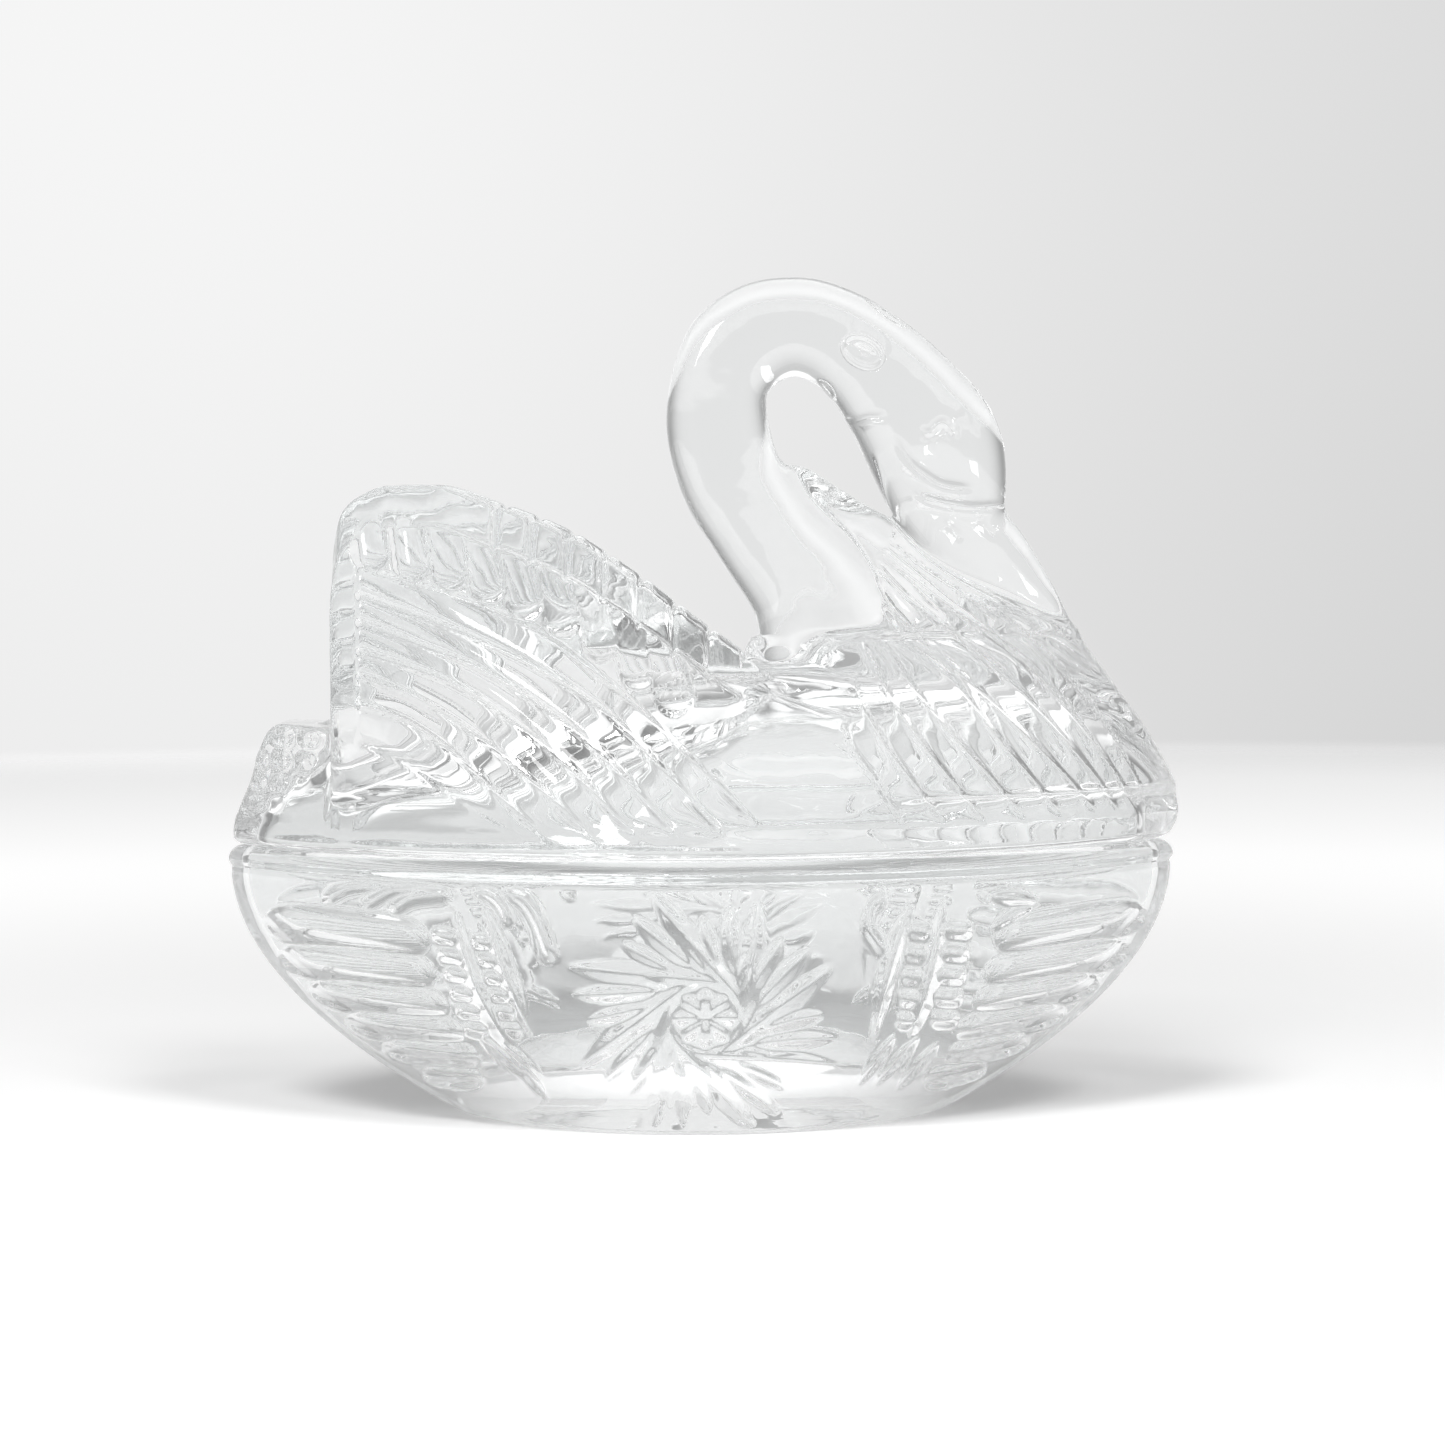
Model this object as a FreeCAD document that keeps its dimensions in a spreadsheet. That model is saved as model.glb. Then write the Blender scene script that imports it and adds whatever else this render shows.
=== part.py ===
import FreeCAD, Part
import math
import os
import Sketcher
from FreeCAD import Placement, Rotation, Vector

# A covered dish of pressed lead crystal in the form of a swan, in two pieces of glass: a boat-shaped
# bowl, and a hollow lid moulded as the swan, whose beak rests on its breast.
# Frame: millimetres, +Z up, origin at the middle of the foot, +X towards the beak.

os.makedirs("parts", exist_ok=True)
doc = FreeCAD.newDocument("swan_covered_dish")

# ---------------------------------------------------------------- driving dimensions
SIZES = {
    "rim_long": 140.0,        # bowl, tip to tip over the rim bead
    "rim_wide": 76.0,         # bowl, across the middle of the rim bead
    "bowl_tall": 40.2,        # foot to the face that carries the lid
    "foot_long": 70.6,
    "foot_wide": 50.0,
    "rim_tip": 3.8,           # rounding of the pointed ends in plan
    "foot_tip": 6.0,
    "bead_tall": 3.2,         # plain bead round the top of the bowl
    "bead_proud": 0.5,
    "bead_bevel": 1.1,        # at its top edge
    "bowl_wall": 4.2,
    "bowl_floor": 6.0,
    "swan_tall": 123.2,       # foot to the crown of the swan's head
    "lid_wall": 3.2,          # from the dome inside the lid to the swan's back
    "border_tall": 4.6,       # plain border round the foot of the lid
    "lip_tall": 2.6,          # locating lip under the lid
    "lip_wall": 2.2,
    "lip_gap": 0.6,           # lip to the inside of the bowl
    "wing_thick": 5.0,        # along its top
    "neck_wide": 15.4,
}
sheet = doc.addObject("Spreadsheet::Sheet", "sizes")
for row, (alias, number) in enumerate(SIZES.items(), start=1):
    sheet.set(f"A{row}", alias)
    sheet.set(f"B{row}", str(number))
    sheet.setAlias(f"B{row}", alias)
doc.recompute()


class Size:
    """A length that carries both its spreadsheet expression and its value."""

    def __init__(self, text, value):
        self.text = text
        self.value = value

    def joined(self, sign, other, value):
        return Size(f"({self.text} {sign} {as_size(other).text})", value)

    def __add__(self, other):
        return self.joined("+", other, self.value + as_size(other).value)

    def __sub__(self, other):
        return self.joined("-", other, self.value - as_size(other).value)

    def __mul__(self, other):
        return self.joined("*", other, self.value * as_size(other).value)

    def __truediv__(self, other):
        return self.joined("/", other, self.value / as_size(other).value)


def as_size(thing):
    return thing if isinstance(thing, Size) else Size(repr(float(thing)), float(thing))


def size(alias):
    return Size(f"sizes.{alias}", float(sheet.get(alias)))


HALF_LONG = size("rim_long") / 2
HALF_WIDE = size("rim_wide") / 2
SWAN_RISE = size("swan_tall") - size("bowl_tall")


def ahead(share):
    """A place along the dish, as a share of its half length."""
    return HALF_LONG * share


def aside(share):
    """A distance from the middle plane, as a share of the half width."""
    return HALF_WIDE * share


def above(share):
    """A height on the swan, as a share of its rise over the bowl."""
    return size("bowl_tall") + SWAN_RISE * share


# ---------------------------------------------------------------- drawing helpers
def new_body(name):
    return doc.addObject("PartDesign::Body", name)


def new_sketch(body, name, role, place, turn=Rotation()):
    """A sketch on one of the body's own origin planes, moved by three bound sizes."""
    sketch = body.newObject("Sketcher::SketchObject", name)
    plane = next(f for f in body.Origin.OriginFeatures if f.Role == role)
    sketch.AttachmentSupport = [(plane, "")]
    sketch.MapMode = "FlatFace"
    values = [as_size(part) for part in place]
    sketch.AttachmentOffset = Placement(Vector(*[part.value for part in values]), turn)
    for axis, part in zip("xyz", values):
        sketch.setExpression(f"AttachmentOffset.Base.{axis}", part.text)
    return sketch


def bind(sketch, name, kind, elements, length):
    """One driving dimension of a sketch, bound to the spreadsheet."""
    index = sketch.addConstraint(Sketcher.Constraint(kind, *elements, length.value))
    sketch.renameConstraint(index, name)
    sketch.setExpression(f"Constraints.{name}", length.text)


def boat_sketch(body, name, height, half_long, half_wide, tip, shift=0.0):
    """A pointed oval: two long arcs that meet tip arcs of a small radius."""
    reach = half_long - tip
    side = (half_wide * half_wide + reach * reach - tip * tip) / ((half_wide - tip) * 2)
    sketch = new_sketch(body, name, "XY_Plane", (shift, 0.0, height))
    inset = side.value - half_wide.value
    lean = math.atan2(inset, reach.value)
    up = Vector(0, 0, 1)

    def arc(x, y, radius, start, end):
        circle = Part.Circle(Vector(x, y, 0), up, radius)
        return sketch.addGeometry(Part.ArcOfCircle(circle, start, end))

    left_side = arc(0, -inset, side.value, lean, math.pi - lean)
    stern = arc(-reach.value, 0, tip.value, math.pi - lean, math.pi + lean)
    right_side = arc(0, inset, side.value, math.pi + lean, 2 * math.pi - lean)
    bow = arc(reach.value, 0, tip.value, -lean, lean)
    rule = Sketcher.Constraint
    sketch.addConstraint([
        rule("Tangent", left_side, 1, bow, 2),
        rule("Tangent", left_side, 2, stern, 1),
        rule("Coincident", stern, 2, right_side, 1),
        rule("Coincident", right_side, 2, bow, 1),
        rule("Symmetric", bow, 1, bow, 2, -1),
        rule("Symmetric", stern, 1, stern, 2, -1),
        rule("Equal", left_side, right_side),
        rule("Equal", stern, bow),
    ])
    bind(sketch, "tip", "Radius", (stern,), tip)
    bind(sketch, "side", "Radius", (left_side,), side)
    bind(sketch, "bow_reach", "DistanceX", (-1, 1, bow, 3), reach)
    bind(sketch, "stern_reach", "DistanceX", (stern, 3, -1, 1), reach)
    return sketch


def boat_loft(body, kind, name, sections):
    """A loft up through pointed ovals, given as (height, half long, half wide, tip, shift)."""
    drawn = [boat_sketch(body, f"{name}_{number}", *section) for number, section in enumerate(sections)]
    loft = body.newObject(f"PartDesign::{kind}Loft", name)
    loft.Profile = drawn[0]
    loft.Sections = drawn[1:]
    loft.Ruled = True
    doc.recompute()
    return loft


def combine(kind, name, **links):
    """A Part boolean of finished shapes."""
    result = doc.addObject(f"Part::{kind}", name)
    for link, target in links.items():
        setattr(result, link, target)
    doc.recompute()
    return result


# ---------------------------------------------------------------- bowl
HULL_TOP = size("bowl_tall") - size("bead_tall")
HULL_BULGE = 1.95    # how full the flank is between foot and rim


def flank(height):
    """Half length, half width and tip radius of the outside of the bowl at a height."""
    level = min(max(height / HULL_TOP.value, 0.0), 1.0)
    fullness = 1.0 - (1.0 - level) ** HULL_BULGE
    spans = []
    for top, foot in (("rim_long", "foot_long"), ("rim_wide", "foot_wide")):
        foot_half = size(foot) / 2
        spans.append(foot_half + (size(top) / 2 - size("bead_proud") - foot_half) * fullness)
    tip = size("foot_tip") + (size("rim_tip") - size("foot_tip")) * fullness
    return spans[0], spans[1], tip


def make_bowl():
    body = new_body("bowl_body")
    outside = []
    for level in (0.0, 0.12, 0.36, 0.68, 1.0):
        outside.append((HULL_TOP * level, *flank(HULL_TOP.value * level), 0.0))
    boat_loft(body, "Additive", "bowl_outside", outside)

    bead = body.newObject("PartDesign::Pad", "rim_bead")
    bead.Profile = boat_sketch(body, "rim_bead_plan", HULL_TOP, HALF_LONG, HALF_WIDE, size("rim_tip"))
    bead.setExpression("Length", "sizes.bead_tall")
    doc.recompute()
    bevel = body.newObject("PartDesign::Chamfer", "rim_bead_bevel")
    bevel.Base = (bead, level_edges(bead.Shape, size("bowl_tall").value))
    bevel.setExpression("Size", "sizes.bead_bevel")
    doc.recompute()

    mouth_long, mouth_wide = HALF_LONG - size("bowl_wall"), HALF_WIDE - size("bowl_wall")
    depth = size("bowl_tall") - size("bowl_floor") - size("lip_tall") * 1.4
    inside = []
    for level, slope in ((0.0, 2.4), (0.2, 1.45), (0.55, 1.15)):
        height = size("bowl_floor") + depth * level
        shrink = (flank(height.value)[0] - size("bowl_wall") * slope) / mouth_long
        inside.append((height, mouth_long * shrink, mouth_wide * shrink, size("rim_tip") * shrink, 0.0))
    for height in (size("bowl_floor") + depth, size("bowl_tall")):
        inside.append((height, mouth_long, mouth_wide, size("rim_tip"), 0.0))
    boat_loft(body, "Subtractive", "bowl_hollow", inside)
    return body


def level_edges(shape, height):
    """Names of the edges that lie flat at a height."""
    names = []
    for number, edge in enumerate(shape.Edges, start=1):
        box = edge.BoundBox
        if abs(box.ZMin - height) < 0.01 and abs(box.ZMax - height) < 0.01:
            names.append(f"Edge{number}")
    return names


# ---------------------------------------------------------------- lid: body of the swan
def swan_ovals(rows):
    """Sections of the swan from shares: height, stern, bow, half width, tip radius."""
    sections = []
    for height, stern, bow, half_wide, tip in rows:
        half_long = ahead((bow - stern) / 2)
        sections.append((above(height), half_long, aside(half_wide), as_size(tip), ahead((bow + stern) / 2)))
    return sections


def make_back():
    """The boat-shaped foot of the lid, rising to the back between the wings."""
    body = new_body("back_body")
    boat_loft(body, "Additive", "back", swan_ovals((
        (0.000, -0.982, 0.972, 0.965, 3.8),
        (0.012, -0.986, 0.992, 0.985, 3.8),
        (0.050, -0.978, 1.011, 0.985, 3.8),
        (0.130, -0.925, 0.976, 0.880, 5.0),
        (0.210, -0.805, 0.922, 0.700, 6.5),
        (0.290, -0.600, 0.830, 0.450, 7.0),
    )))
    return body


def make_breast():
    """The breast, which narrows upwards to the crest that the beak rests on."""
    body = new_body("breast_body")
    boat_loft(body, "Additive", "breast", swan_ovals((
        (0.130, 0.000, 0.974, 0.780, 6.0),
        (0.205, 0.045, 0.925, 0.620, 5.5),
        (0.280, 0.085, 0.872, 0.440, 5.0),
        (0.366, 0.112, 0.800, 0.290, 4.2),
        (0.370, 0.300, 0.796, 0.240, 4.2),
        (0.415, 0.290, 0.712, 0.200, 4.0),
        (0.480, 0.260, 0.590, 0.160, 3.6),
        (0.555, 0.200, 0.440, 0.145, 3.2),
        (0.625, 0.120, 0.300, 0.125, 2.6),
        (0.690, 0.050, 0.185, 0.085, 2.0),
    )))
    return body


WING_ROWS = (
    # place along, foot: aside, top: height and aside, root: height and aside
    (-0.756, 0.455, 0.528, 0.410, 0.115, 0.115),
    (-0.735, 0.500, 0.564, 0.420, 0.120, 0.110),
    (-0.700, 0.545, 0.598, 0.432, 0.135, 0.107),
    (-0.640, 0.610, 0.633, 0.450, 0.160, 0.100),
    (-0.560, 0.700, 0.639, 0.470, 0.182, 0.095),
    (-0.430, 0.815, 0.607, 0.495, 0.204, 0.088),
    (-0.285, 0.900, 0.558, 0.510, 0.215, 0.080),
    (-0.143, 0.945, 0.482, 0.495, 0.212, 0.080),
    (0.000, 0.955, 0.392, 0.440, 0.197, 0.080),
    (0.125, 0.935, 0.317, 0.355, 0.180, 0.080),
)
WING_FOOT = 0.055    # share of the swan's rise where the wings leave the border


def wing_sketch(body, name, side, row):
    """A slice across one wing: outer face, crest with a sloping outer facet, inner face, root."""
    along, foot_out, top_up, top_out, root_up, root_out = row
    thick = size("wing_thick")
    corners = (
        (aside(foot_out), above(WING_FOOT)),
        (aside(top_out), above(top_up) - thick * 0.64),
        (aside(top_out) - thick * 0.72, above(top_up)),
        (aside(top_out) - thick, above(top_up) - thick * 0.16),
        (aside(root_out), above(root_up)),
    )
    sketch = new_sketch(body, name, "YZ_Plane", (0.0, 0.0, ahead(along)))
    points = [Vector(side * out.value, up.value, 0) for out, up in corners]
    for number, point in enumerate(points):
        after = points[(number + 1) % len(points)]
        sketch.addGeometry(Part.LineSegment(point, after))
    for number in range(len(points)):
        following = (number + 1) % len(points)
        sketch.addConstraint(Sketcher.Constraint("Coincident", number, 2, following, 1))
    for number, (out, up) in enumerate(corners):
        ends = (-1, 1, number, 1) if side > 0 else (number, 1, -1, 1)
        bind(sketch, f"out_{number}", "DistanceX", ends, out)
        bind(sketch, f"up_{number}", "DistanceY", (-1, 1, number, 1), up)
    return sketch


def make_wing(name, side):
    body = new_body(f"{name}_body")
    slices = [wing_sketch(body, f"{name}_{number}", side, row) for number, row in enumerate(WING_ROWS)]
    loft = body.newObject("PartDesign::AdditiveLoft", name)
    loft.Profile = slices[0]
    loft.Sections = slices[1:]
    loft.Ruled = True
    doc.recompute()
    return body


def make_tail():
    """The short upturned tail, pointed in plan like the stern below it."""
    body = new_body("tail_body")
    boat_loft(body, "Additive", "tail", swan_ovals((
        (0.040, -0.982, -0.500, 0.310, 2.6),
        (0.067, -0.966, -0.500, 0.310, 2.8),
        (0.170, -0.925, -0.500, 0.300, 3.0),
        (0.205, -0.905, -0.505, 0.290, 3.0),
        (0.222, -0.850, -0.520, 0.250, 3.0),
    )))
    return body


# ---------------------------------------------------------------- lid: neck, head and beak
NECK_ROWS = (
    # outer and inner edge in side view as shares (along, up), and width as a share of the neck's
    ((0.132, 0.330), (0.405, 0.330), 1.20),
    ((0.114, 0.425), (0.380, 0.443), 1.12),
    ((0.033, 0.528), (0.250, 0.578), 1.04),
    ((-0.033, 0.618), (0.170, 0.685), 1.00),
    ((-0.064, 0.745), (0.147, 0.770), 0.99),
    ((-0.050, 0.840), (0.150, 0.800), 0.97),
    ((0.000, 0.930), (0.172, 0.818), 0.95),
    ((0.093, 0.984), (0.195, 0.824), 0.94),
    ((0.214, 1.000), (0.215, 0.824), 0.94),
    ((0.330, 0.974), (0.252, 0.810), 0.94),
    ((0.443, 0.915), (0.290, 0.776), 0.95),
    ((0.557, 0.822), (0.330, 0.715), 0.95),
    ((0.632, 0.735), (0.362, 0.660), 0.92),
    ((0.645, 0.660), (0.393, 0.612), 0.84),
    ((0.642, 0.598), (0.440, 0.555), 0.73),
    ((0.705, 0.510), (0.543, 0.465), 0.60),
    ((0.758, 0.430), (0.640, 0.405), 0.47),
    ((0.795, 0.368), (0.735, 0.340), 0.25),
)
NECK_SIDES = 12
NECK_FLAT = 3.6    # how flat the sides of the neck are: 2 is an oval


def neck_ring(outer, inner, half_wide):
    """A flat-sided oval ring across the neck, standing on the line from its outer to its inner edge."""
    start = Vector(ahead(outer[0]).value, 0, above(outer[1]).value)
    end = Vector(ahead(inner[0]).value, 0, above(inner[1]).value)
    centre = (start + end) / 2
    across = (end - start) / 2
    points = []
    for number in range(NECK_SIDES + 1):
        turn = 2 * math.pi * number / NECK_SIDES
        out, side = (math.copysign(abs(part) ** (2 / NECK_FLAT), part) for part in (math.cos(turn), math.sin(turn)))
        points.append(centre + across * out + Vector(0, half_wide * side, 0))
    return Part.makePolygon(points)


def make_neck():
    """The solid neck, bent over into a loop, with the head and the beak at its end."""
    rings = []
    for outer, inner, share in NECK_ROWS:
        rings.append(neck_ring(outer, inner, share * size("neck_wide").value / 2))
    neck = doc.addObject("Part::Feature", "neck")
    neck.Shape = Part.makeLoft(rings, True, True)
    return neck


# ---------------------------------------------------------------- lid: hollow and lip
def make_lip():
    """The lip under the lid, which drops into the bowl with a small gap all round."""
    body = new_body("lip_body")
    half_long = HALF_LONG - size("bowl_wall") - size("lip_gap")
    half_wide = HALF_WIDE - size("bowl_wall") - size("lip_gap")
    pad = body.newObject("PartDesign::Pad", "lip")
    pad.Profile = boat_sketch(
        body, "lip_plan", size("bowl_tall") - size("lip_tall"), half_long, half_wide, size("rim_tip"))
    pad.setExpression("Length", "sizes.lip_tall + sizes.border_tall / 2")
    doc.recompute()
    return body


def make_lid_hollow():
    """The smooth dome that the plunger leaves inside the lid."""
    body = new_body("lid_hollow_body")
    half_long = HALF_LONG - size("bowl_wall") - size("lip_gap") - size("lip_wall")
    half_wide = HALF_WIDE - size("bowl_wall") - size("lip_gap") - size("lip_wall")
    dome = SWAN_RISE * 0.29 - size("lid_wall")
    sections = [(size("bowl_tall") - size("lip_tall"), half_long, half_wide, size("rim_tip"), 0.0)]
    for level, shrink in ((0.0, 1.0), (0.40, 0.93), (0.75, 0.74), (1.0, 0.42)):
        sections.append((size("bowl_tall") + dome * level, half_long * shrink, half_wide * shrink,
                         size("rim_tip") * shrink, half_long * (1.0 - shrink) * 0.12))
    boat_loft(body, "Additive", "lid_hollow", sections)
    return body


def make_lid():
    solids = [make_back(), make_breast(), make_wing("left_wing", 1), make_wing("right_wing", -1),
              make_tail(), make_neck(), make_lip()]
    swan = combine("MultiFuse", "swan_solid", Shapes=solids)
    return combine("Cut", "swan_lid", Base=swan, Tool=make_lid_hollow())


# ---------------------------------------------------------------- build, check, export
def check(nodes):
    """Stop on any failed object and on any empty or broken shape."""
    for thing in doc.Objects:
        if "Invalid" in thing.State or "Error" in thing.State:
            raise RuntimeError(f"{thing.Name} failed: {thing.State}")
    for node in nodes:
        if node.Shape.isNull() or not node.Shape.isValid():
            raise RuntimeError(f"{node.Label} has no valid shape")
        if len(node.Shape.Solids) != 1:
            raise RuntimeError(f"{node.Label} has {len(node.Shape.Solids)} solids")


def main():
    bowl = make_bowl()
    bowl.Label = "bowl"
    lid = make_lid()
    lid.Label = "swan_lid"
    doc.recompute()
    nodes = [bowl, lid]
    check(nodes)
    for node in nodes:
        box = node.Shape.BoundBox
        print(f"{node.Label}: {node.Shape.Volume / 1000:.1f} cm3, x {box.XMin:.1f} to {box.XMax:.1f}, "
              f"y {box.YMin:.1f} to {box.YMax:.1f}, z {box.ZMin:.1f} to {box.ZMax:.1f}")
        node.Shape.exportStep(f"parts/{node.Label}.step")


main()
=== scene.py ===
import math
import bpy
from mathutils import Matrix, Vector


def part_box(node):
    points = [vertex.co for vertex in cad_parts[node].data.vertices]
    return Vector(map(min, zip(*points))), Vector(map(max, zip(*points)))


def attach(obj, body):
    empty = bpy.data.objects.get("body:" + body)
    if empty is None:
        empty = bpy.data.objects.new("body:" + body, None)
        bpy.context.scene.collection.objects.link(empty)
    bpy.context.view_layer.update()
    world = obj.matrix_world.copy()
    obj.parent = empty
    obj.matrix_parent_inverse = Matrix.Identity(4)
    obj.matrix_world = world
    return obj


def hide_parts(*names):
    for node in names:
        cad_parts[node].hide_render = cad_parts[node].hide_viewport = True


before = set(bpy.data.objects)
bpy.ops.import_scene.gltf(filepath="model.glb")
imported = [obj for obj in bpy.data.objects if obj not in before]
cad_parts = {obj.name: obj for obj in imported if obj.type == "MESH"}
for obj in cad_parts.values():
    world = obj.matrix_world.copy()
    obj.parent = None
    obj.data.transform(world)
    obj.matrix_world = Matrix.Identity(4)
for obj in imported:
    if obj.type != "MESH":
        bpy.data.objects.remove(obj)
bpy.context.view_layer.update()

from concurrent.futures import ThreadPoolExecutor

import bpy
import numpy as np
import openvdb
from mathutils import Quaternion, Vector

# Looks of a covered dish of pressed lead crystal in the form of a swan: a boat-shaped bowl with cut
# leaves, and a lid moulded as the swan. Shapes are worked out in millimetres and made in metres.

bl_info = {
    "name": "Crystal Swan Covered Dish",
    "version": (1, 0, 0),
    "blender": (4, 5, 0),
    "location": "View3D > Sidebar > Swan Dish",
    "description": "Builds the glass bowl, the swan lid and a pale studio around the packed frame",
    "category": "Object",
}

MM = 0.001
VIEW_WIDE = 0.2135    # width of the camera's view at the dish
PAPER_RADIUS = 1.0    # metres, as is the width above
BOWL_LOW, BOWL_HIGH = (np.array(corner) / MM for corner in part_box("bowl"))
LID_LOW, LID_HIGH = (np.array(corner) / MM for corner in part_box("swan_lid"))
HALF_LONG = float(BOWL_HIGH[0])
HALF_WIDE = float(BOWL_HIGH[1])
BOWL_TALL = float(BOWL_HIGH[2])
RISE = float(LID_HIGH[2]) - BOWL_TALL - 0.1


# ---------------------------------------------------------------- small mathematics
def curve_through(places, values, at):
    """A smooth curve through points that never overshoots between them, straight beyond the ends."""
    x = np.asarray(places, float)
    y = np.asarray(values, float)
    step = np.diff(x)
    slope = np.diff(y) / step
    tangent = np.empty_like(y)
    tangent[0], tangent[-1] = slope[0], slope[-1]
    for i in range(1, len(x) - 1):
        if slope[i - 1] * slope[i] <= 0:
            tangent[i] = 0.0
        else:
            near, far = 2 * step[i] + step[i - 1], step[i] + 2 * step[i - 1]
            tangent[i] = (near + far) / (near / slope[i - 1] + far / slope[i])
    at = np.asarray(at, float)
    i = np.clip(np.searchsorted(x, at) - 1, 0, len(x) - 2)
    t = (at - x[i]) / step[i]
    inside = np.clip(t, 0, 1)
    square, cube = inside ** 2, inside ** 3
    result = ((2 * cube - 3 * square + 1) * y[i] + (cube - 2 * square + inside) * step[i] * tangent[i]
              + (3 * square - 2 * cube) * y[i + 1] + (cube - square) * step[i] * tangent[i + 1])
    result += np.where(t < 0, t * step[i] * tangent[0], 0)
    return result + np.where(t > 1, (t - 1) * step[i] * tangent[-1], 0)


def columns(rows, at):
    """Every column of a table of rows, read along its first column."""
    table = np.asarray(rows, float)
    order = np.argsort(table[:, 0])
    return [curve_through(table[order, 0], table[order, c], at) for c in range(1, table.shape[1])]


def ease(low, high, value):
    """0 below low, 1 above high, smooth between."""
    t = np.clip((value - low) / (high - low), 0, 1)
    return t * t * (3 - 2 * t)


def join(a, b, soft):
    """Union of two solids with a fillet of about this size."""
    h = np.maximum(soft - np.abs(a - b), 0) / soft
    return np.minimum(a, b) - h * h * soft * 0.25


def meet(a, b, soft):
    """Overlap of two solids with a rounded edge of about this size."""
    h = np.maximum(soft - np.abs(a - b), 0) / soft
    return np.maximum(a, b) + h * h * soft * 0.25


def boat(x, y, half_long, half_wide, tip):
    """Distance in plan to a pointed oval whose ends are rounded by a small radius."""
    reach, waist = half_long - tip, half_wide - tip
    side = (reach * reach + waist * waist) / (2 * waist)
    inset = side - waist
    ax, ay = np.abs(x), np.abs(y) + inset
    on_side = inset * ax <= reach * ay
    return np.where(on_side, np.hypot(ax, ay) - side, np.hypot(ax - reach, ay - inset)) - tip


# ---------------------------------------------------------------- cut and moulded relief, in side view
def leaf(x, z, start, end, wide, deep, bend=0.0):
    """A pointed leaf cut with two sloping faces that meet in a groove. Gives the depth."""
    (x0, z0), (x1, z1) = start, end
    long = math.hypot(x1 - x0, z1 - z0)
    ux, uz = (x1 - x0) / long, (z1 - z0) / long
    t = ((x - x0) * ux + (z - z0) * uz) / long * 2 - 1
    s = -(x - x0) * uz + (z - z0) * ux
    bow = 1 - t * t
    s = s - bend * bow
    return deep * np.maximum(np.maximum(bow, 0) - np.sqrt(s * s + 0.01) * 2 / wide, 0)


def flute(x, z, start, end, wide, deep, bend=0.0):
    """A rounded oval hollow."""
    (x0, z0), (x1, z1) = start, end
    long = math.hypot(x1 - x0, z1 - z0)
    ux, uz = (x1 - x0) / long, (z1 - z0) / long
    t = ((x - x0) * ux + (z - z0) * uz) / long * 2 - 1
    s = -(x - x0) * uz + (z - z0) * ux
    bow = np.where(np.abs(t) < 1, 1 - t ** 4, 0)
    s = s - bend * bow
    return deep * np.maximum(bow - (s * 2 / wide) ** 2, 0)


def line_distance(x, z, points, finer=10):
    """Distance in side view to a smooth line, and the share of its length at the nearest place."""
    points = np.asarray(points, float)
    run = np.concatenate([[0], np.cumsum(np.hypot(*np.diff(points, axis=0).T))])
    at = np.linspace(0, run[-1], finer * len(points))
    px, pz = curve_through(run, points[:, 0], at), curve_through(run, points[:, 1], at)
    best = np.full(np.broadcast(x, z).shape, 1e9)
    share = np.zeros_like(best)
    for i in range(len(at) - 1):
        dx, dz = px[i + 1] - px[i], pz[i + 1] - pz[i]
        t = np.clip(((x - px[i]) * dx + (z - pz[i]) * dz) / (dx * dx + dz * dz), 0, 1)
        d = np.hypot(x - px[i] - t * dx, z - pz[i] - t * dz)
        nearer = d < best
        best = np.where(nearer, d, best)
        share = np.where(nearer, (i + t) / (len(at) - 1), share)
    return best, share


def crease(x, z, points, wide, deep):
    """A groove along a line, that fades at both ends."""
    d, share = line_distance(x, z, points)
    return deep * np.exp(-(d / wide) ** 2) * np.clip(4 * share * (1 - share) * 2, 0, 1)


def strand(x, z, lines):
    """Which strand of a family of lines a place lies in, counted from the lowest line, with its fraction."""
    heights = []
    for line in lines:
        line = np.asarray(line, float)
        heights.append(curve_through(line[:, 0], line[:, 1], x[:, 0]))
    heights = np.maximum.accumulate(np.array(heights), axis=0)
    result = np.empty(np.broadcast(x, z).shape)
    steps = np.arange(len(lines), dtype=float)
    for i in range(len(result)):
        at = heights[:, i] + steps * 1e-4
        result[i] = np.interp(z[0], at, steps, left=-0.5, right=len(lines) - 0.5)
    return result


# ---------------------------------------------------------------- bowl
SEAM = 0.15    # air between the two fire-polished rims
BEAD_TALL = 3.2
HULL_TOP = BOWL_TALL - BEAD_TALL
FOOT_HALF_LONG, FOOT_HALF_WIDE = 35.3, 25.0
RIM_TIP = 3.8    # radius of the rim's pointed ends
UNDER_BEAD = 0.5    # how far the flank stays inside the bead
WALL = 4.2
FLOOR = 6.0


def flank(z):
    """Half length, half width and tip radius of the bowl's outside at a height."""
    full = 1 - (1 - np.clip(z / HULL_TOP, 0, 1)) ** 1.95
    long = FOOT_HALF_LONG + (HALF_LONG - UNDER_BEAD - FOOT_HALF_LONG) * full
    wide = FOOT_HALF_WIDE + (HALF_WIDE - UNDER_BEAD - FOOT_HALF_WIDE) * full
    return long, wide, 6 - 2.2 * full


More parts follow.
